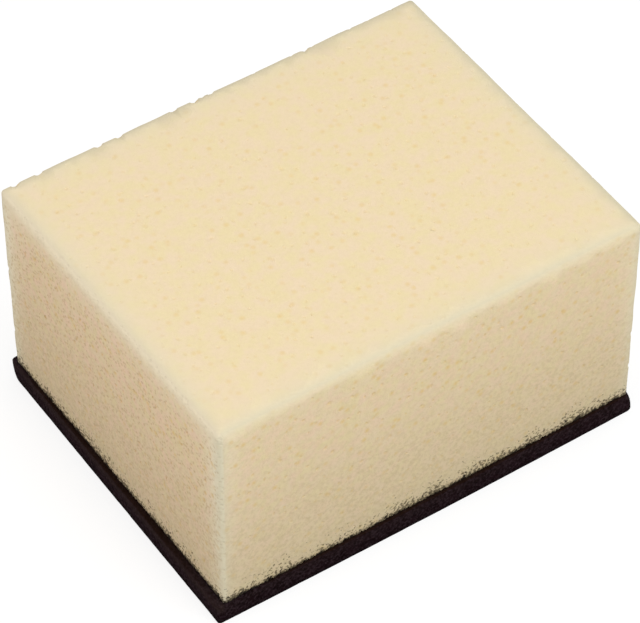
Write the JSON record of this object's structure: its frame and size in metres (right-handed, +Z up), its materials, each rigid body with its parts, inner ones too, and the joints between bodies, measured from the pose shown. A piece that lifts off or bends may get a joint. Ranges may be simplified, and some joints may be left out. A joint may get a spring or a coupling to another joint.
{
  "type": "grout sponge",
  "caption": "Block of cream open-cell foam bonded to a thick dark cellular rubber plate, used wet to wipe and smooth grout on tiled surfaces.",
  "frame": {"origin": "middle of the rubber plate's underside", "axes": "+X along the sponge's length, +Y across its width from the front, +Z up from the plate through the foam"},
  "size_m": [0.15, 0.119, 0.081],
  "materials": {
    "foam": "matt open-cell foam, cream, with ochre pores",
    "rubber": "matt cellular rubber, brown-black"
  },
  "bodies": {
    "root": {"sponge_block": "foam", "backing_plate": "rubber"}
  },
  "joints": []
}
